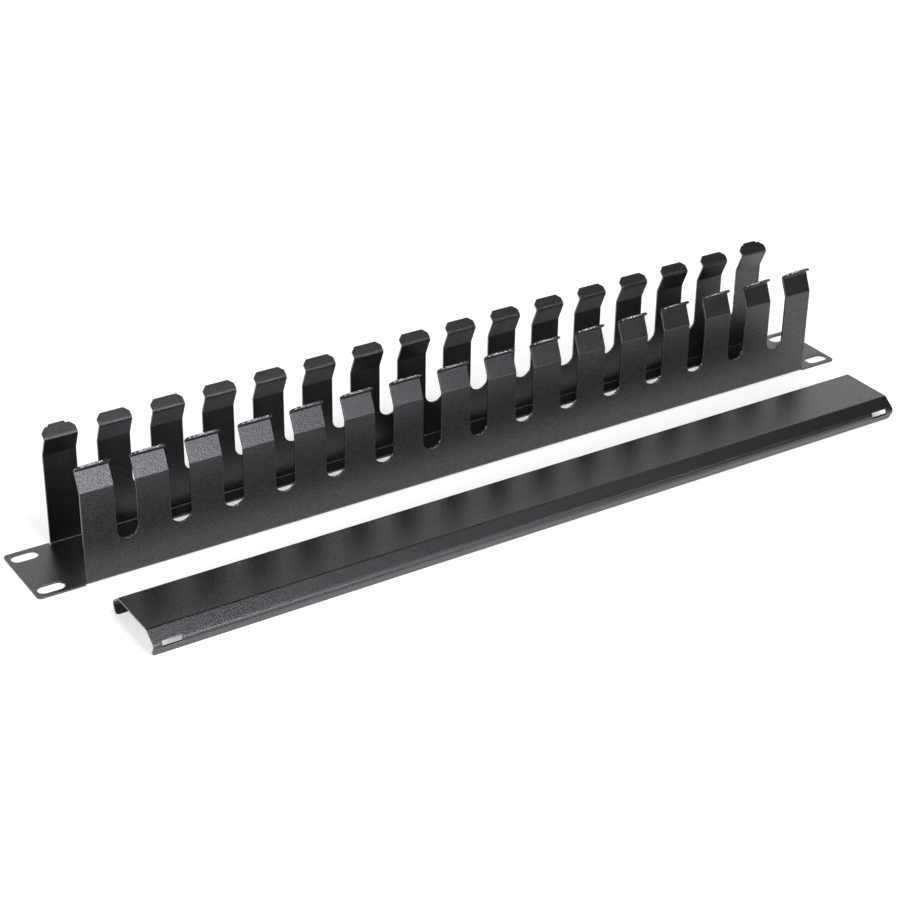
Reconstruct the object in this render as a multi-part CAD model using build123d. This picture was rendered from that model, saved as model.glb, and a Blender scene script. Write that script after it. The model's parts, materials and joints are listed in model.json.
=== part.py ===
"""Horizontal cable manager, one rack unit high, for a 19-inch rack.

Two folded steel sheets. The duct is one sheet: a panel with two rack ears,
and two walls folded up from its long edges. Each wall is cut into sixteen
fingers, and cables leave through the gaps between them. Every finger stands
straight, leans in at its shoulder, and ends in a short flange that turns
outwards. The cover is the second sheet, a shallow tray that snaps over the
flanges. It is shown taken off, lying in front of the duct.

The part's frame, in millimetres: the origin is the middle of the four rack
slots, on the panel's back face. +X runs along the duct, +Y towards its upper
wall as it hangs in the rack, and +Z out of the rack's front. The duct lies
on its back face at Z = 0, and so does the cover, on its two lips.
"""

import os
from math import cos, radians, sin, tan

from build123d import *

# Sheet and folds, the same for both pieces
sheet = 1.1
inside_radius = 0.8

# Panel with an ear at each end, slotted for the rack
panel_width = 482.6
panel_height = 43.6
ear_length = 24.05
ear_corner_radius = 2.2
rack_slot_inset = 8.75
rack_slot_rise = 31.75
rack_slot_length = 13.6
rack_slot_width = 7.0

# Notch that frees each wall's fold from the ear beside it
relief_width = 0.4
relief_margin = 0.3

# Two cable holes in the floor of the duct
cable_hole_width = 25.0
cable_hole_web = 45.0
cable_hole_margin = 38.25

# Walls and fingers
finger_count = 16
gap_width = 10.8
gap_floor = 19.5
shoulder_height = 49.3
shoulder_lean = 23.0
knee_height = 59.1
flange_rise = 38.0
flange_reach = 5.6
flange_chamfer = 2.5
tab_width = 8.4
tab_reach = 1.1
tab_chamfer = 0.5

# Cover, and how it fits the fingers
cover_overhang = 0.9
cover_fold_radius = 1.8
snap_preload = 0.3
lip_clearance = 0.3
lip_height = 5.5
lip_corner_radius = 1.5
cover_rise = 4.7
cover_slope = 36.0
tab_end_clearance = 0.75
tab_face_clearance = 0.85

# Where the cover lies beside the duct
cover_shift = 1.95
cover_distance = 70.65

# Worked out from the sizes above
outside_radius = inside_radius + sheet
half_height = panel_height / 2
rack_slot_span = panel_width - 2 * rack_slot_inset
wall_length = panel_width - 2 * ear_length
half_length = wall_length / 2
cable_hole_length = half_length - cable_hole_web / 2 - cable_hole_margin
cable_hole_pitch = cable_hole_web + cable_hole_length
gap_count = finger_count - 1
finger_width = (wall_length - gap_count * gap_width) / finger_count
finger_pitch = finger_width + gap_width
end_finger_centre = half_length - finger_width / 2
tab_centres = [(-end_finger_centre, 0), (end_finger_centre, 0)]

lean = radians(shoulder_lean)
rise = radians(flange_rise)
slope = radians(cover_slope)

# The knee, where the outer faces of a finger's lean and flange meet
knee_y = half_height - (knee_height - shoulder_height) * tan(lean)

# The upper edge of a flange's tip
tip_y = knee_y + flange_reach * cos(rise) - sheet * sin(rise)
tip_z = knee_height + flange_reach * sin(rise) + sheet * cos(rise)
full_reach = flange_reach + tab_reach
duct_depth = tip_z + tab_reach * sin(rise)


def mirrored_path(half_path):
    """A path through half_path's (y, z) points and on to their mirror image."""
    far_side = [(-y, z) for y, z in reversed(half_path)]
    return half_path + far_side


def folded_sheet(half_path, half_radii, thickness_side, length):
    """A sheet folded along X, whose one face follows a mirrored path."""
    points = mirrored_path(half_path)
    radii = half_radii + half_radii[::-1]
    face_line = FilletPolyline(*points, radius=radii)
    outline = offset(face_line, amount=sheet, side=thickness_side)
    section = Plane.YZ * make_face(outline)
    return extrude(section, amount=length / 2, both=True)


def panel_blank():
    """The flat panel with its ears, less the strips that the folds take up."""
    plate = RectangleRounded(panel_width, panel_height, ear_corner_radius)
    fold_strip = outside_radius + relief_margin
    strip = Rectangle(wall_length + 2 * relief_width, 2 * fold_strip)
    for side in (-1, 1):
        plate -= Pos(0, side * half_height) * strip
    return extrude(plate, amount=sheet)


def panel_openings():
    """Cutters for the four rack slots and the two cable holes."""
    rack_slot = SlotOverall(rack_slot_length, rack_slot_width)
    rack_slots = GridLocations(rack_slot_span, rack_slot_rise, 2, 2) * rack_slot
    cable_hole = SlotOverall(cable_hole_length, cable_hole_width)
    cable_holes = GridLocations(cable_hole_pitch, 1, 2, 1) * cable_hole
    outlines = Sketch() + rack_slots + cable_holes
    return extrude(outlines, amount=2 * sheet, both=True)


def finger_gaps():
    """Cutters for the round-bottomed gaps, each through both walls."""
    gap_top = duct_depth + gap_width
    gap_height = gap_top - gap_floor
    gap = SlotOverall(gap_height, gap_width, rotation=90)
    row = GridLocations(finger_pitch, 1, gap_count, 1) * gap
    middle = gap_floor + gap_height / 2
    outlines = Plane.XZ * Pos(0, middle) * (Sketch() + row)
    return extrude(outlines, amount=panel_height, both=True)


def flange_outline(plane_top):
    """What is cut off the flanges: all but the chamfered tongues and the tabs."""
    chamfer_start = flange_reach - flange_chamfer
    half_root = finger_width / 2
    half_tip = half_root - flange_chamfer
    half_tab = tab_width / 2
    tongue = make_face(
        Polyline(
            (-half_root, 0),
            (-half_root, chamfer_start),
            (-half_tip, flange_reach),
            (half_tip, flange_reach),
            (half_root, chamfer_start),
            (half_root, 0),
            close=True,
        )
    )
    tab = make_face(
        Polyline(
            (-half_tab, 0),
            (-half_tab, full_reach - tab_chamfer),
            (-half_tab + tab_chamfer, full_reach),
            (half_tab - tab_chamfer, full_reach),
            (half_tab, full_reach - tab_chamfer),
            (half_tab, 0),
            close=True,
        )
    )
    waste_height = plane_top - chamfer_start
    waste = Pos(0, chamfer_start + waste_height / 2) * Rectangle(panel_width, waste_height)
    tongues = GridLocations(finger_pitch, 1, finger_count, 1) * tongue
    tabs = Locations(*tab_centres) * tab
    return waste - (Sketch() + tongues + tabs)


def flange_trim(side):
    """Cutter that shapes the flange tips of the wall on one side."""
    across = Vector(0, side * cos(rise), sin(rise))
    along = Vector(1, 0, 0)
    knee = (0, side * knee_y, knee_height)
    flange_plane = Plane(origin=knee, x_dir=along, z_dir=along.cross(across))
    waste = flange_plane * flange_outline(full_reach + sheet)
    return extrude(waste, amount=2 * sheet, both=True)


def make_duct():
    """The slotted duct, folded from one sheet."""
    reach_y = knee_y + full_reach * cos(rise)
    reach_z = knee_height + full_reach * sin(rise)
    outer_face = [
        (-reach_y, reach_z),
        (-knee_y, knee_height),
        (-half_height, shoulder_height),
        (-half_height, 0),
    ]
    radii = [inside_radius, outside_radius, outside_radius]
    duct = folded_sheet(outer_face, radii, Side.LEFT, wall_length)
    duct += panel_blank()
    duct -= panel_openings()
    duct -= finger_gaps()
    for side in (-1, 1):
        duct -= flange_trim(side)
    return duct


def cover_inner_path():
    """Half of the cover's inner face, its foot at the height where it rests."""
    # Fitted, the flange tips press into the inner corners of the two lower folds
    corner_y = tip_y - snap_preload
    fitted_foot_z = tip_z - lip_height
    lean_y = knee_y + (knee_height - fitted_foot_z) * tan(lean)
    foot_y = lean_y + lip_clearance
    # The lip slants, so the outer edge of its cut end is what touches the floor
    lip_run = corner_y - foot_y
    lip_length = (lip_run**2 + lip_height**2) ** 0.5
    foot_z = sheet * lip_run / lip_length
    corner_z = foot_z + lip_height
    top_y = corner_y - cover_rise / tan(slope)
    return [
        (-foot_y, foot_z),
        (-corner_y, corner_z),
        (-top_y, corner_z + cover_rise),
    ]


def tab_slots(inner_path):
    """Cutters through the cover's lower folds, where the end fingers' tabs go."""
    foot, corner, top = [Vector(0, y, z) for y, z in inner_path]
    fold_axis = ((foot - corner).normalized() + (top - corner).normalized()).normalized()
    length = tab_width + 2 * tab_end_clearance
    height = sheet + 2 * tab_face_clearance
    depth = 2 * (cover_fold_radius + sheet)
    fold_plane = Plane(origin=corner, x_dir=(1, 0, 0), z_dir=fold_axis)
    row = Locations(*tab_centres) * Rectangle(length, height)
    front = extrude(fold_plane * (Sketch() + row), amount=depth / 2, both=True)
    return front + mirror(front, about=Plane.XZ)


def make_cover():
    """The snap-fit cover, folded from one sheet."""
    inner_path = cover_inner_path()
    radii = [cover_fold_radius, inside_radius]
    length = wall_length + 2 * cover_overhang
    cover = folded_sheet(inner_path, radii, Side.LEFT, length)
    cut_edges = cover.edges().filter_by(lambda edge: abs(edge.length - sheet) < sheet / 100)
    cover = fillet(cut_edges.group_by(Axis.Z)[0], lip_corner_radius)
    cover -= tab_slots(inner_path)
    return Pos(cover_shift, -cover_distance, 0) * cover


parts = {"duct_channel": make_duct(), "snap_cover": make_cover()}

os.makedirs("parts", exist_ok=True)
for name, piece in parts.items():
    box = piece.bounding_box()
    print(name, "volume", round(piece.volume), "mm3, size", box.size, "from", box.min)
    export_step(piece, f"parts/{name}.step")
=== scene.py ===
# %% [markdown]
# # A one-unit cable manager for a 19-inch rack
# The real thing is two pieces of folded steel sheet in a fine-textured black powder coat: a duct with
# sixteen fingers along each wall, and a cover that clips over them, here lying in front on the floor.
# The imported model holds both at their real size, as plain solids. This script makes the same two
# sheets with what the solids lack: cut edges and folds that are truly round, the coat with its grain,
# and a white studio with soft lamps around it. Everything is in metres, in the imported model's own
# frame: X runs along the duct, Y towards its far wall, and Z up from the floor that both lie on.

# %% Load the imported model
import json
from math import asin, atan2, cos, radians, sin, tan

import bmesh
import bpy
from mathutils import Matrix, Vector


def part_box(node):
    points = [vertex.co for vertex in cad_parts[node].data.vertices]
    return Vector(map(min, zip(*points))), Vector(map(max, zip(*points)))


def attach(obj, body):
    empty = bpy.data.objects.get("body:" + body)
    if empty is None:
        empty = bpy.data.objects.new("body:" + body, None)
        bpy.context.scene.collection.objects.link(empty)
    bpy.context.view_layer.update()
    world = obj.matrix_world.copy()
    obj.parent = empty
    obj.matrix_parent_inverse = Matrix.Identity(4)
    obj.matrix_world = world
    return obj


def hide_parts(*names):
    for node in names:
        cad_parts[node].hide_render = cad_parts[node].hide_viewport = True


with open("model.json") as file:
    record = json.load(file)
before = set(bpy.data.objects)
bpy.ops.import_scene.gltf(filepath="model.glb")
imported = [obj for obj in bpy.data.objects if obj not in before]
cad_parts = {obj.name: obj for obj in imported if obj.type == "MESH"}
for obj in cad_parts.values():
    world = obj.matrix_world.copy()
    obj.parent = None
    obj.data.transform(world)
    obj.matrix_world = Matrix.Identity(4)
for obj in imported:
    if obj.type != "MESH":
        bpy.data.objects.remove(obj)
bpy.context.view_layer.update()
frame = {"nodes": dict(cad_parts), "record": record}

mm = 0.001
print("CAD nodes:", sorted(frame["nodes"]))

# %% [markdown]
# ## The camera
# A product photographer stands well back and uses a long lens, so that the far end of a long part
# doesn't shrink away. Here it is an 85 mm lens, a little over a metre from the part, above its left
# end and looking down. A camera could be turned by hand with three angles, but it is easier to give
# the place where it stands and the point that it looks at, and let the script work out the turn.
# The small roll is how far the camera leaned to one side.

# %% Place the camera
lens_length = 85.0
sensor_width = 36.0
camera_place = Vector((-0.528, -0.8156, 0.5347))
camera_target = Vector((-0.0019, 0.002, 0))
camera_roll = radians(0.83)

camera_data = bpy.data.cameras.new("camera")
camera_data.lens = lens_length
camera_data.sensor_width = sensor_width
camera = bpy.data.objects.new("camera", camera_data)
bpy.context.scene.collection.objects.link(camera)
look = (camera_target - camera_place).to_track_quat("-Z", "Y").to_matrix().to_4x4()
roll = Matrix.Rotation(camera_roll, 4, "Z")
camera.matrix_world = Matrix.Translation(camera_place) @ look @ roll
bpy.context.scene.camera = camera
print("camera stands", round((camera_target - camera_place).length, 3), "m from its target")

# %% [markdown]
# ## Small helpers
# Materials are made of nodes, and each link runs from an output of one node to an input of another.
# Three short helpers keep the cells below easy to read: one makes a material and hands back its
# Principled shader, one adds a node with some of its inputs filled in, and one adds a sum or product.

# %% Helpers for nodes
def new_material(name):
    """A material with its node tree and its Principled shader."""
    material = bpy.data.materials.new(name)
    material.use_nodes = True
    tree = material.node_tree
    return material, tree, tree.nodes["Principled BSDF"]


def add_node(tree, kind, **values):
    """A node of a kind, with values for its inputs by name."""
    node = tree.nodes.new(kind)
    for name, value in values.items():
        node.inputs[name.replace("_", " ")].default_value = value
    return node


def add_math(tree, operation, first, second):
    """A Math node on two inputs, each a number or another node's output. Gives back its output."""
    node = tree.nodes.new("ShaderNodeMath")
    node.operation = operation
    for socket, value in zip(node.inputs, (first, second)):
        if isinstance(value, (int, float)):
            socket.default_value = value
        else:
            tree.links.new(value, socket)
    return node.outputs["Value"]


# %% [markdown]
# ## The white floor
# The parts lie on a wide white sheet. In the photograph it is so bright that it has no tone of its
# own, only soft shadows close to the metal. Turning the lamps up until the sheet clips would wash
# out the black coat. So the sheet is a plain pale paint, and a faint glow is added to it that only
# the camera and glossy reflections see. It lights nothing else, so the shadows stay.

# %% Make the floor
floor_half_size = 6.0
floor_colour = (0.85, 0.85, 0.86, 1)
floor_roughness = 0.9
floor_glow_seen = 0.38
floor_glow_reflected = 0.39

floor_bm = bmesh.new()
bmesh.ops.create_grid(floor_bm, x_segments=1, y_segments=1, size=floor_half_size)
floor_mesh = bpy.data.meshes.new("floor")
floor_bm.to_mesh(floor_mesh)
floor_bm.free()
floor = bpy.data.objects.new("floor", floor_mesh)
bpy.context.scene.collection.objects.link(floor)

floor_paint, tree, shader = new_material("floor_paint")
shader.inputs["Base Color"].default_value = floor_colour
shader.inputs["Roughness"].default_value = floor_roughness
shader.inputs["Specular IOR Level"].default_value = 0.0
shader.inputs["Emission Color"].default_value = (1, 1, 1, 1)
light_path = add_node(tree, "ShaderNodeLightPath")
seen = add_math(tree, "MULTIPLY", light_path.outputs["Is Camera Ray"], floor_glow_seen)
reflected = add_math(tree, "MULTIPLY", light_path.outputs["Is Glossy Ray"], floor_glow_reflected)
glow = add_math(tree, "ADD", seen, reflected)
tree.links.new(glow, shader.inputs["Emission Strength"])
floor.data.materials.append(floor_paint)
print("floor:", 2 * floor_half_size, "m across")

# %% [markdown]
# ## The studio around it
# Past the edge of the sheet there is only the world, and each kind of ray gets its own strength of
# it. The camera sees white. Reflections see the dim far walls of a studio, almost black, which keeps
# the coat deep. Everything else gets a little plain light from all sides. It is what makes the soft
# shadow under the cover and along the foot of the duct, where the metal hides part of the sky.
# The strength is worked out as that plain light, plus what the camera gets above it, less what
# reflections get below it.

# %% Make the world
world_seen = 1.0
world_reflected = 0.03
world_light = 0.2

world = bpy.data.worlds.new("studio")
world.use_nodes = True
bpy.context.scene.world = world
tree = world.node_tree
background = tree.nodes["Background"]
background.inputs["Color"].default_value = (1, 1, 1, 1)
light_path = add_node(tree, "ShaderNodeLightPath")
seen = add_math(tree, "MULTIPLY", light_path.outputs["Is Camera Ray"], world_seen - world_light)
reflected = add_math(
    tree, "MULTIPLY", light_path.outputs["Is Glossy Ray"], world_reflected - world_light
)
both = add_math(tree, "ADD", seen, reflected)
strength = add_math(tree, "ADD", both, world_light)
tree.links.new(strength, background.inputs["Strength"])
print("world light:", world_light)

# %% [markdown]
# ## Soft lamps
# Black paint has almost no colour of its own to show. What makes its faces differ is which lamp each
# one mirrors, so the lamps are placed by where their reflections have to fall. The upright walls
# mirror the floor in front of them, which the near lamp at the left lights. The leaning tops of the
# fingers catch the two low lamps in front at the left end of the duct and lose them towards the
# right. The slope of the cover does the same with the high ones, which also light the floor. The
# flat top of the cover mirrors the wide, dim panel behind. Two small lamps only draw fine lines: the
# glints along the tips of the flanges, and the rims at the left end. Each lamp is placed by its
# compass angle around the parts, 0 in front and 90 at the right, and by its height in degrees,
# which is easier to think in than three coordinates.

# %% Place the lamps
def softbox(name, azimuth, elevation, distance, width, height, watts):
    """An area lamp that stands around the origin and faces it."""
    turn = radians(azimuth)
    lift = radians(elevation)
    direction = Vector((sin(turn) * cos(lift), -cos(turn) * cos(lift), sin(lift)))
    lamp_data = bpy.data.lights.new(name, "AREA")
    lamp_data.shape = "RECTANGLE"
    lamp_data.size = width
    lamp_data.size_y = height
    lamp_data.energy = watts
    lamp = bpy.data.objects.new(name, lamp_data)
    bpy.context.scene.collection.objects.link(lamp)
    lamp.location = direction * distance
    lamp.rotation_mode = "QUATERNION"
    lamp.rotation_quaternion = (-direction).to_track_quat("-Z", "Y")


softbox("key_left", azimuth=300, elevation=22, distance=0.95, width=0.4, height=0.4, watts=4.4)
softbox("fill_front_low", azimuth=10, elevation=6, distance=1.6, width=0.7, height=0.5, watts=7.3)
softbox("fill_front", azimuth=2, elevation=22, distance=1.6, width=0.55, height=0.5, watts=7.1)
softbox("fill_front_high", azimuth=0, elevation=60, distance=1.6, width=0.5, height=0.5, watts=7.2)
softbox("fill_right_high", azimuth=60, elevation=60, distance=1.6, width=0.5, height=0.5, watts=0.8)
softbox("backdrop", azimuth=146, elevation=30, distance=1.6, width=2.6, height=1.0, watts=11.3)
softbox("glint_right", azimuth=36, elevation=38, distance=1.6, width=0.3, height=0.15, watts=2.6)
softbox("rim_behind_left", azimuth=210, elevation=8, distance=1.6, width=0.5, height=0.2, watts=5.0)
lamps = [thing for thing in bpy.data.objects if thing.type == "LIGHT"]
print(len(lamps), "lamps,", round(sum(lamp.data.energy for lamp in lamps), 1), "W in all")

# %% [markdown]
# ## The grain of the coat
# A fine-textured powder coat melts into tiny bumps, well under a millimetre across, that lie
# shoulder to shoulder with no direction of their own. Their tops are smooth and glossy, and the
# pits between them trap light; the coat below paints that shade into the pits as lost gloss. Under
# them the film has slow waves, as orange peel has. Noise textures at two sizes make that. The group
# below holds the effect once, with a size for the grain and one for the waves. It puts out a height
# for a Bump node, a mask that is high on the tops, which the coat turns into painted shade in the
# pits, and a slow shade that varies the gloss from place to place.

# %% Build the grain group
grain_group = bpy.data.node_groups.new("powder_grain", "ShaderNodeTree")
interface = grain_group.interface
interface.new_socket("Vector", in_out="INPUT", socket_type="NodeSocketVector")
interface.new_socket("Grain Size", in_out="INPUT", socket_type="NodeSocketFloat")
interface.new_socket("Wave Size", in_out="INPUT", socket_type="NodeSocketFloat")
interface.new_socket("Height", in_out="OUTPUT", socket_type="NodeSocketFloat")
interface.new_socket("Tops", in_out="OUTPUT", socket_type="NodeSocketFloat")
interface.new_socket("Waves", in_out="OUTPUT", socket_type="NodeSocketFloat")

group_in = grain_group.nodes.new("NodeGroupInput")
group_out = grain_group.nodes.new("NodeGroupOutput")
grain_scale = add_math(grain_group, "DIVIDE", 1.0, group_in.outputs["Grain Size"])
wave_scale = add_math(grain_group, "DIVIDE", 1.0, group_in.outputs["Wave Size"])
grain_noise = add_node(grain_group, "ShaderNodeTexNoise", Detail=0.0)
wave_noise = add_node(grain_group, "ShaderNodeTexNoise", Detail=2.0)
for texture, scale in ((grain_noise, grain_scale), (wave_noise, wave_scale)):
    grain_group.links.new(group_in.outputs["Vector"], texture.inputs["Vector"])
    grain_group.links.new(scale, texture.inputs["Scale"])
tops = add_node(grain_group, "ShaderNodeMapRange", From_Min=0.3, From_Max=0.7)
grain_group.links.new(grain_noise.outputs["Fac"], tops.inputs["Value"])
grain_group.links.new(grain_noise.outputs["Fac"], group_out.inputs["Height"])
grain_group.links.new(tops.outputs["Result"], group_out.inputs["Tops"])
grain_group.links.new(wave_noise.outputs["Fac"], group_out.inputs["Waves"])
print("grain group:", [item.name for item in interface.items_tree])

# %% [markdown]
# ## The coat itself
# The black is a little cool and very dark: most of what the eye sees on it is gloss. The film is
# thick and even on the flat faces. It draws thin over a cut edge, where it melts smooth, and it
# gathers in beads at the tips of the flanges, which stick out furthest and glint. So the same coat is
# made three times: with a fine grain for the faces, a faint one for the cut edges, and a deep and
# shiny one for the tips. A single material with masks would do as well, but the bevel hands over its
# new faces, which makes materials of their own the simpler way. The pits lose their gloss through
# Metallic: a metal reflects only its own colour, and a black one reflects next to nothing. That lost
# gloss is painted shade, standing in for the light that the pits trap.

# %% Mix the three coats
coat_black = (0.005, 0.0051, 0.0054, 1)
gloss_tint = (0.93, 0.935, 1.0, 1)
grain_size = 0.5 * mm
wave_size = 6 * mm


def powder_coat(name, ior, grain_depth, painted_pit_shade, roughness_low, roughness_high):
    """Black powder coat: how strongly it mirrors, its pits' depth and painted shade, how rough it is.
    """
    material, tree, shader = new_material(name)
    shader.inputs["Base Color"].default_value = coat_black
    shader.inputs["IOR"].default_value = ior
    shader.inputs["Specular IOR Level"].default_value = 1.0
    shader.inputs["Specular Tint"].default_value = gloss_tint
    coordinates = add_node(tree, "ShaderNodeTexCoord")
    grain = add_node(tree, "ShaderNodeGroup")
    grain.node_tree = grain_group
    grain.inputs["Grain Size"].default_value = grain_size
    grain.inputs["Wave Size"].default_value = wave_size
    bump = add_node(tree, "ShaderNodeBump", Strength=1.0, Distance=grain_depth)
    # Painted shade: the pits between the tops of the grain lose their gloss through Metallic.
    pits = add_node(tree, "ShaderNodeMapRange", To_Min=painted_pit_shade, To_Max=0.0)
    gloss = add_node(tree, "ShaderNodeMapRange", To_Min=roughness_low, To_Max=roughness_high)
    tree.links.new(coordinates.outputs["Object"], grain.inputs["Vector"])
    tree.links.new(grain.outputs["Height"], bump.inputs["Height"])
    tree.links.new(bump.outputs["Normal"], shader.inputs["Normal"])
    tree.links.new(grain.outputs["Tops"], pits.inputs["Value"])
    tree.links.new(pits.outputs["Result"], shader.inputs["Metallic"])
    tree.links.new(grain.outputs["Waves"], gloss.inputs["Value"])
    tree.links.new(gloss.outputs["Result"], shader.inputs["Roughness"])
    return material


face_coat = powder_coat(
    "powder_coat_on_faces", ior=1.5, grain_depth=0.1 * mm, painted_pit_shade=0.35,
    roughness_low=0.27, roughness_high=0.3
)
edge_coat = powder_coat(
    "powder_coat_on_cut_edges", ior=1.65, grain_depth=0.03 * mm, painted_pit_shade=0.2,
    roughness_low=0.24, roughness_high=0.28
)
tip_coat = powder_coat(
    "powder_coat_on_flange_tips", ior=2.2, grain_depth=0.12 * mm, painted_pit_shade=0.5,
    roughness_low=0.14, roughness_high=0.18
)
print("coats:", face_coat.name, edge_coat.name, tip_coat.name)

# %% [markdown]
# ## Sheet metal, the way a shop makes it
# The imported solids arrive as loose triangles, with knife-sharp cut edges and folds of a few flat
# facets. Rounding those afterwards goes wrong where facets are shorter than the rounding, so the
# visible pieces are made afresh, in the order in which a metal shop works: cut a flat blank, round
# its corners, break its sharp edges, and only then fold it. In the flat, every step is one simple
# operator, and each fold is a formula that bends points round a line. The sizes are the packed
# model's. What its boxes and mounts tell is read from them, and the rest is written out here.

# %% Sizes of the duct
duct_low, duct_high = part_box("duct_channel")
mounts = {mount["name"]: mount for mount in frame["record"]["mounts"]}
rack_holes = mounts["rack_slots"]["dims"]

sheet = 1.1 * mm
inside_radius = 0.8 * mm
outside_radius = inside_radius + sheet
middle_radius = inside_radius + sheet / 2
panel_half_width = (duct_high.x - duct_low.x) / 2
panel_half_height = 21.8 * mm
ear_length = 24.05 * mm
ear_corner_radius = 2.2 * mm
rack_slot_place = Vector((rack_holes["spacing_x_mm"], rack_holes["spacing_y_mm"])) / 2 * mm
rack_slot_half = Vector((rack_holes["slot_length_mm"] / 2, rack_holes["hole_r_mm"])) * mm
relief_width = 0.4 * mm
relief_margin = 0.3 * mm
cable_hole_start = 22.5 * mm
cable_hole_end = 179.0 * mm
cable_hole_half_width = 12.5 * mm
finger_count = 16
gap_width = 10.8 * mm
gap_floor = 19.5 * mm
shoulder_height = 49.3 * mm
shoulder_lean = radians(23.0)
knee_height = 59.1 * mm
flange_rise = radians(38.0)
flange_reach = 5.6 * mm
flange_chamfer = 2.5 * mm
tab_width = 8.4 * mm
tab_reach = 1.1 * mm
tab_chamfer = 0.5 * mm

wall_half_length = panel_half_width - ear_length
gap_count = finger_count - 1
finger_width = (2 * wall_half_length - gap_count * gap_width) / finger_count
finger_pitch = finger_width + gap_width
gap_centres = [(i - (gap_count - 1) / 2) * finger_pitch for i in range(gap_count)]
end_finger_centre = wall_half_length - finger_width / 2
print("finger", round(finger_width / mm, 2), "mm wide, pitch", round(finger_pitch / mm, 2), "mm")

# %% [markdown]
# ### A folded section as a walk
# The section of a folded sheet can be told as a walk along the middle of its thickness: so far
# straight on, then a turn of so many degrees at a fold, then straight on again. The straight
# lengths follow from the sizes above, less the stretch that each fold takes off its two neighbours,
# which is the fold's radius times the tangent of half its turn.

# %% The duct's walk, from the middle of the panel to the tip of a flange
def fold_setback(radius, turn):
    """How much of a straight a fold takes up, measured on the face that has this radius."""
    return radius * tan(abs(turn) / 2)


corner_turn = radians(90.0)
knee_turn = -(shoulder_lean + radians(90.0) - flange_rise)
shoulder_setback = fold_setback(outside_radius, shoulder_lean)
knee_setback = fold_setback(inside_radius, knee_turn)
lean_length = (knee_height - shoulder_height) / cos(shoulder_lean)

panel_flat = panel_half_height - fold_setback(outside_radius, corner_turn)
wall_flat = shoulder_height - outside_radius - shoulder_setback
lean_flat = lean_length - shoulder_setback - knee_setback
flange_flat = flange_reach - knee_setback
duct_walk = [
    (panel_flat, 0.0),
    (middle_radius * corner_turn, corner_turn),
    (wall_flat, 0.0),
    (middle_radius * shoulder_lean, shoulder_lean),
    (lean_flat, 0.0),
    (middle_radius * -knee_turn, knee_turn),
    (flange_flat + tab_reach, 0.0),
]
blank_half_width = sum(length for length, turn in duct_walk)
flange_tip = blank_half_width - tab_reach
gap_floor_flat = panel_flat + middle_radius * corner_turn + gap_floor - outside_radius
print("the duct's blank is", round(2 * blank_half_width / mm, 2), "mm wide in the flat")

# %% [markdown]
# ### Cutting the blank
# A flat plate is scored along every line on which a cut or a hole begins or ends, which leaves a
# grid of rectangles. Those that lie in a gap, a slot or a notch are thrown away, and the score lines
# are melted again, all but one line through the middle of each hole and one where the walls end.
# Those seams keep every face free of holes, so that it stays a simple outline.

# %% Helpers that cut a blank
tiny = 0.001 * mm
straight_angle = 0.001


def scored_plate(half_length, half_width, x_lines, y_lines):
    """A flat plate, cut through along lines across X and lines across Y."""
    bm = bmesh.new()
    size = Matrix.Diagonal((half_length, half_width, 1, 1))
    bmesh.ops.create_grid(bm, x_segments=1, y_segments=1, size=1, matrix=size)
    scores = [((x, 0, 0), (1, 0, 0)) for x in x_lines] + [((0, y, 0), (0, 1, 0)) for y in y_lines]
    for place, normal in scores:
        everything = bm.verts[:] + bm.edges[:] + bm.faces[:]
        bmesh.ops.bisect_plane(bm, geom=everything, dist=tiny, plane_co=place, plane_no=normal)
    return bm


def drop_waste(bm, is_waste):
    """Throws away the rectangles whose middle is waste."""
    waste = [face for face in bm.faces if is_waste(*face.calc_center_median().xy)]
    bmesh.ops.delete(bm, geom=waste, context="FACES")


def melt_scores(bm, seams):
    """Melts all score lines but the seams, and the points left over on straight edges."""
    def on_seam(edge):
        return any(all(abs(v.co.x - x) < tiny for v in edge.verts) for x in seams)

    inner = [edge for edge in bm.edges if len(edge.link_faces) == 2 and not on_seam(edge)]
    bmesh.ops.dissolve_edges(bm, edges=inner, use_verts=False, use_face_split=False)
    straight = [v for v in bm.verts if len(v.link_edges) == 2 and v.calc_edge_angle(0) < straight_angle]
    bmesh.ops.dissolve_verts(bm, verts=straight)


def thicken(bm):
    """Gives the flat outline the sheet's thickness, upwards from its lower face."""
    raised = bmesh.ops.extrude_face_region(bm, geom=bm.faces[:])
    new_verts = [item for item in raised["geom"] if isinstance(item, bmesh.types.BMVert)]
    bmesh.ops.translate(bm, verts=new_verts, vec=(0, 0, sheet))
    bmesh.ops.recalc_face_normals(bm, faces=bm.faces)


# %% Cut the duct's blank
relief_end = wall_half_length + relief_width
relief_depth = panel_half_height - outside_radius - relief_margin
slot_low = rack_slot_place - rack_slot_half
slot_high = rack_slot_place + rack_slot_half
tab_edges = (end_finger_centre - tab_width / 2, end_finger_centre + tab_width / 2)


def both_ways(*lengths):
    """Each length to both sides of the middle."""
    return [side * length for length in lengths for side in (-1, 1)]


gap_sides = [centre + side * gap_width / 2 for centre in gap_centres for side in (-1, 1)]
seams = both_ways(wall_half_length, rack_slot_place.x, (cable_hole_start + cable_hole_end) / 2)
x_lines = gap_sides + seams + both_ways(
    relief_end, slot_low.x, slot_high.x, cable_hole_start, cable_hole_end, *tab_edges
)
y_lines = both_ways(
    cable_hole_half_width, slot_low.y, slot_high.y, relief_depth, panel_half_height,
    gap_floor_flat, flange_tip
)


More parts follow.
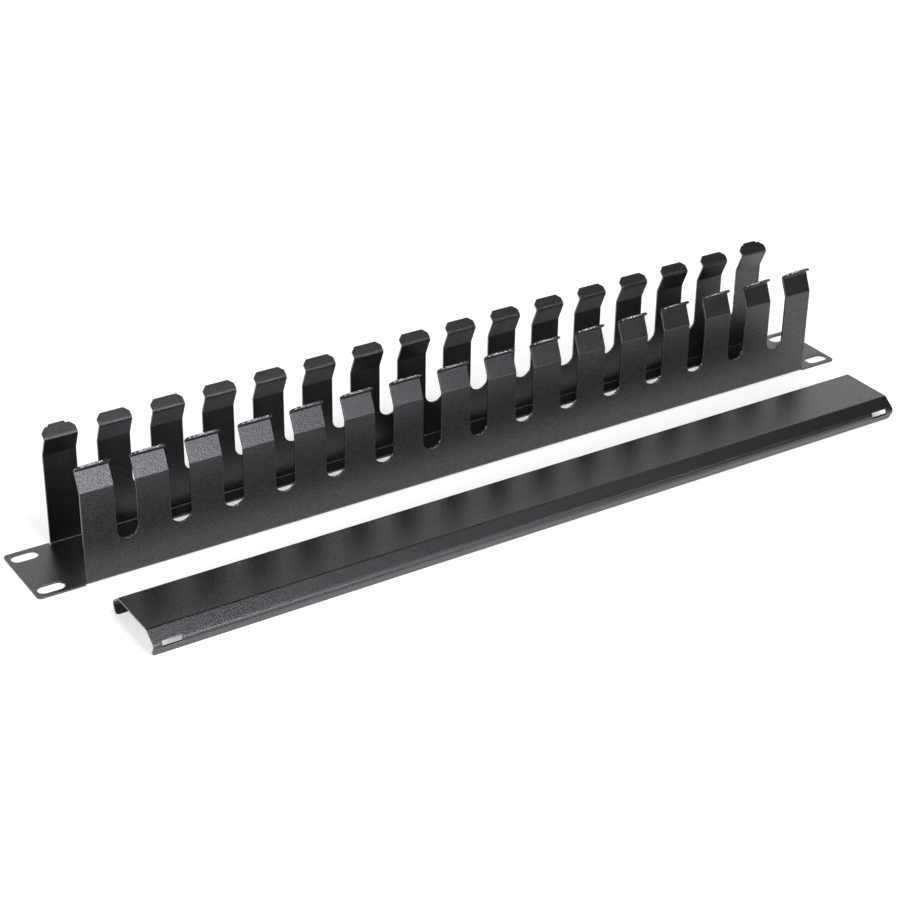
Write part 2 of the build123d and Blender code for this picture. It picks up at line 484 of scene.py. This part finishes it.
def duct_waste(x, y):
    """Whether a point of the plate is outside the duct's blank."""
    x, y = abs(x), abs(y)
    if x > relief_end:
        in_slot = slot_low.x < x < slot_high.x and slot_low.y < y < slot_high.y
        return in_slot or y > panel_half_height
    if x > wall_half_length:
        return y > relief_depth
    in_gap = any(abs(abs(centre) - x) < gap_width / 2 for centre in gap_centres)
    in_hole = cable_hole_start < x < cable_hole_end and y < cable_hole_half_width
    past_tip = y > flange_tip and not tab_edges[0] < x < tab_edges[1]
    return in_hole or past_tip or (in_gap and y > gap_floor_flat)


duct = scored_plate(panel_half_width, blank_half_width, x_lines, y_lines)
drop_waste(duct, duct_waste)
melt_scores(duct, seams)
thicken(duct)
print("duct blank:", len(duct.faces), "faces,", len(duct.verts), "points")

# %% [markdown]
# ### Rounding corners and breaking edges
# A slot's end is two square corners, each rounded by almost half the slot's width, so that they
# meet. The flanges' chamfers are the same operator with a single step, which cuts the corner
# straight. Corners are picked by how far from the middle of the blank they stand. Then the sharp rims
# all round both faces are broken with a small round, as a deburring machine does. The bevel hands
# back its new faces, and they take the coat of the cut edges. Whether a face stands upright or lies
# level is told by the Z part of its normal.

# %% Helpers that round a blank
edge_round = 0.22 * mm
edge_steps = 3
edge_coat_place = 1
tip_coat_place = 2
upright_tilt = 0.1
level_tilt = 0.9


def near(value, *targets):
    """Whether a length is that of one of the targets."""
    return any(abs(value - target) < 10 * tiny for target in targets)


def round_corners(bm, radius, steps, x_at=None, y_at=None):
    """Rounds the upright edges that stand at these distances from the middle, or at any if not told."""
    def is_corner(place):
        x_fits = x_at is None or near(abs(place.x), *x_at)
        y_fits = y_at is None or near(abs(place.y), *y_at)
        return x_fits and y_fits

    upright = [edge for edge in bm.edges if abs(edge.verts[0].co.z - edge.verts[1].co.z) > sheet / 2]
    corners = [edge for edge in upright if is_corner(edge.verts[0].co)]
    bmesh.ops.bevel(bm, geom=corners, offset=radius, offset_type="OFFSET", segments=steps,
                    profile=0.5, affect="EDGES", clamp_overlap=False, material=-1)


def break_edges(bm):
    """Rounds the sharp rims of both faces. All faces of the cut edges get the second material."""
    def is_rim(edge):
        tilts = sorted(abs(face.normal.z) for face in edge.link_faces)
        return len(tilts) == 2 and tilts[0] < upright_tilt and tilts[1] > level_tilt

    rims = [edge for edge in bm.edges if is_rim(edge)]
    rounds = bmesh.ops.bevel(bm, geom=rims, offset=edge_round, offset_type="OFFSET",
                             segments=edge_steps, profile=0.5, affect="EDGES",
                             clamp_overlap=False, material=-1)
    upright = [face for face in bm.faces if abs(face.normal.z) < upright_tilt]
    for face in rounds["faces"] + upright:
        face.material_index = edge_coat_place
    return len(rims)


def bead_tips(bm, tip):
    """Gives the third material to the cut edges that lie at the flanges' tips."""
    for face in bm.faces:
        if face.material_index and min(abs(v.co.y) for v in face.verts) > tip:
            face.material_index = tip_coat_place


# %% Round the duct's corners and break its edges
almost = 0.998
corner_steps = 8
rack_slot_steps = 12
gap_steps = 16
cable_hole_steps = 24
tip_margin = 0.3 * mm
finger_edges = gap_sides + [wall_half_length]

round_corners(duct, rack_slot_half.y * almost, rack_slot_steps,
              x_at=(slot_low.x, slot_high.x), y_at=(slot_low.y, slot_high.y))
round_corners(duct, cable_hole_half_width * almost, cable_hole_steps,
              x_at=(cable_hole_start, cable_hole_end), y_at=(cable_hole_half_width,))
round_corners(duct, gap_width / 2 * almost, gap_steps, y_at=(gap_floor_flat,))
round_corners(duct, ear_corner_radius, corner_steps, x_at=(panel_half_width,))
round_corners(duct, flange_chamfer, 1, x_at=finger_edges, y_at=(flange_tip,))
round_corners(duct, tab_chamfer, 1, y_at=(blank_half_width,))
rim_count = break_edges(duct)
bead_tips(duct, flange_tip - tip_margin)
print("duct:", rim_count, "rim edges rounded,", len(duct.faces), "faces")

# %% [markdown]
# ### Folding
# Before the blank is folded, it is scored across each fold, so that the fold has faces to bend with.
# Then every point is carried along the walk: its distance from the blank's middle says how far to
# walk, and its height in the sheet says how far to stand off to the side.

# %% Helpers that fold a blank
fold_steps_per_radian = 5.0


def score_folds(bm, walk, half_length):
    """Adds lines across the blank inside each fold, on both sides of the middle."""
    start = 0.0
    for length, turn in walk:
        steps = max(2, round(abs(turn) * fold_steps_per_radian))
        for step in range(steps + 1 if turn else 0):
            for place in both_ways(start + length * step / steps):
                middle = [f for f in bm.faces if abs(f.calc_center_median().x) < half_length]
                verts = {v for f in middle for v in f.verts}
                edges = {e for f in middle for e in f.edges}
                bmesh.ops.bisect_plane(bm, geom=list(verts) + list(edges) + middle, dist=tiny,
                                       plane_co=(0, place, 0), plane_no=(0, 1, 0))
        start += length


def walked(walk, start, distance, aside):
    """Where a walk from a start (out, up) gets to after a distance, standing so far to the left."""
    here = Vector(start)
    heading = 0.0
    for length, turn in walk:
        step = min(distance, length)
        if turn:
            radius = length / turn
            centre = here + radius * Vector((-sin(heading), cos(heading)))
            heading += turn * step / length
            here = centre - radius * Vector((-sin(heading), cos(heading)))
        else:
            here += step * Vector((cos(heading), sin(heading)))
        distance -= step
        if distance <= 0:
            break
    return here + aside * Vector((-sin(heading), cos(heading)))


def fold(bm, walk, start_height, half_length):
    """Folds the blank along its walk, the same on both sides of its middle."""
    for v in bm.verts:
        if abs(v.co.x) > half_length + tiny:
            continue
        side = -1 if v.co.y < 0 else 1
        out, up = walked(walk, (0, start_height), abs(v.co.y), v.co.z - sheet / 2)
        v.co.y = side * out
        v.co.z = up


# %% Fold the duct
score_folds(duct, duct_walk, wall_half_length)
fold(duct, duct_walk, sheet / 2, wall_half_length)
duct_depth = max(v.co.z for v in duct.verts)
print("duct folded:", len(duct.faces), "faces,", round(duct_depth / mm, 2), "mm deep")

# %% [markdown]
# ### The cover
# The cover is the same work on a smaller blank: a flat top, a slope at each side and a lip that
# turns in under it. Its section comes from the fingers that it clips over: the lower fold sits just
# inside the tips of the flanges, and the lip's foot just clears the lean below them. Two slots in
# each lower fold take the tabs of the end fingers.

# %% Sizes of the cover
cover_low, cover_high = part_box("snap_cover")
cover_middle = (cover_low + cover_high) / 2
cover_half_length = (cover_high.x - cover_low.x) / 2
cover_fold_radius = 1.8 * mm
snap_preload = 0.3 * mm
lip_clearance = 0.3 * mm
lip_height = 5.5 * mm
lip_corner_radius = 1.5 * mm
cover_rise = 4.7 * mm
cover_slope = radians(36.0)
tab_end_clearance = 0.75 * mm
tab_face_clearance = 0.85 * mm

knee_out = panel_half_height - (knee_height - shoulder_height) * tan(shoulder_lean)
tip_out = knee_out + flange_reach * cos(flange_rise) - sheet * sin(flange_rise)
tip_up = knee_height + flange_reach * sin(flange_rise) + sheet * cos(flange_rise)
corner_out = tip_out - snap_preload
foot_out = knee_out + (knee_height - tip_up + lip_height) * tan(shoulder_lean) + lip_clearance
lip_run = corner_out - foot_out
lip_length = (lip_run ** 2 + lip_height ** 2) ** 0.5
lip_turn = radians(180) - cover_slope - atan2(lip_height, lip_run)
slope_length = cover_rise / sin(cover_slope)
top_out = corner_out - slope_length * cos(cover_slope)
upper_setback = fold_setback(inside_radius, cover_slope)
lower_setback = fold_setback(cover_fold_radius, lip_turn)
lower_middle_radius = cover_fold_radius + sheet / 2

cover_walk = [
    (top_out - upper_setback, 0.0),
    (middle_radius * cover_slope, -cover_slope),
    (slope_length - upper_setback - lower_setback, 0.0),
    (lower_middle_radius * lip_turn, -lip_turn),
    (lip_length - lower_setback, 0.0),
]
cover_half_width = sum(length for length, turn in cover_walk)
lower_fold_middle = sum(length for length, turn in cover_walk[:3]) + cover_walk[3][0] / 2
print("the cover's blank is", round(2 * cover_half_width / mm, 2), "mm wide in the flat")

# %% Cut the cover's blank
tab_slot_half_length = tab_width / 2 + tab_end_clearance
tab_slot_half_angle = asin((sheet / 2 + tab_face_clearance) / lower_middle_radius)
tab_slot_half_width = lower_middle_radius * tab_slot_half_angle
tab_slot_x = (end_finger_centre - tab_slot_half_length, end_finger_centre + tab_slot_half_length)
tab_slot_y = (lower_fold_middle - tab_slot_half_width, lower_fold_middle + tab_slot_half_width)
cover_seams = both_ways(end_finger_centre)


def cover_waste(x, y):
    """Whether a point of the plate is in one of the cover's four slots."""
    return tab_slot_x[0] < abs(x) < tab_slot_x[1] and tab_slot_y[0] < abs(y) < tab_slot_y[1]


cover = scored_plate(cover_half_length, cover_half_width, both_ways(*tab_slot_x) + cover_seams,
                     both_ways(*tab_slot_y))
drop_waste(cover, cover_waste)
melt_scores(cover, cover_seams)
thicken(cover)
round_corners(cover, lip_corner_radius, corner_steps, x_at=(cover_half_length,))
rim_count = break_edges(cover)
print("cover:", rim_count, "rim edges rounded,", len(cover.faces), "faces")

# %% Fold the cover and lay it beside the duct
score_folds(cover, cover_walk, cover_half_length)
fold(cover, cover_walk, cover_high.z - sheet / 2, cover_half_length)
bmesh.ops.translate(cover, verts=cover.verts, vec=(cover_middle.x, cover_middle.y, 0))
print("cover folded:", len(cover.faces), "faces")

# %% [markdown]
# ## Coat both pieces and hand them over
# Each finished piece takes the place of its imported solid, which is hidden, and rides on the root
# body. Its faces are smooth, and a Weighted Normal modifier lets the large flat faces decide how the
# light falls on them, so that only the folds and the rounded edges shade round.

# %% Hand over the pieces
def coated(bm, node, coats):
    """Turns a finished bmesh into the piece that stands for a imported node."""
    for face in bm.faces:
        face.smooth = True
    solid_volume = bm.calc_volume() / mm ** 3
    mesh = bpy.data.meshes.new(node + "_coated")
    bm.to_mesh(mesh)
    bm.free()
    for coat in coats:
        mesh.materials.append(coat)
    piece = bpy.data.objects.new(node + "_coated", mesh)
    bpy.context.scene.collection.objects.link(piece)
    piece.modifiers.new("even shading", "WEIGHTED_NORMAL").keep_sharp = True
    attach(piece, "root")
    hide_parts(node)
    print(node, "volume", round(solid_volume), "mm3")


coated(duct, "duct_channel", (face_coat, edge_coat, tip_coat))
coated(cover, "snap_cover", (face_coat, edge_coat))

# %% [markdown]
# ## Colour management
# Standard shows each colour as it is written.

# %% Finish
bpy.context.scene.view_settings.view_transform = "Standard"
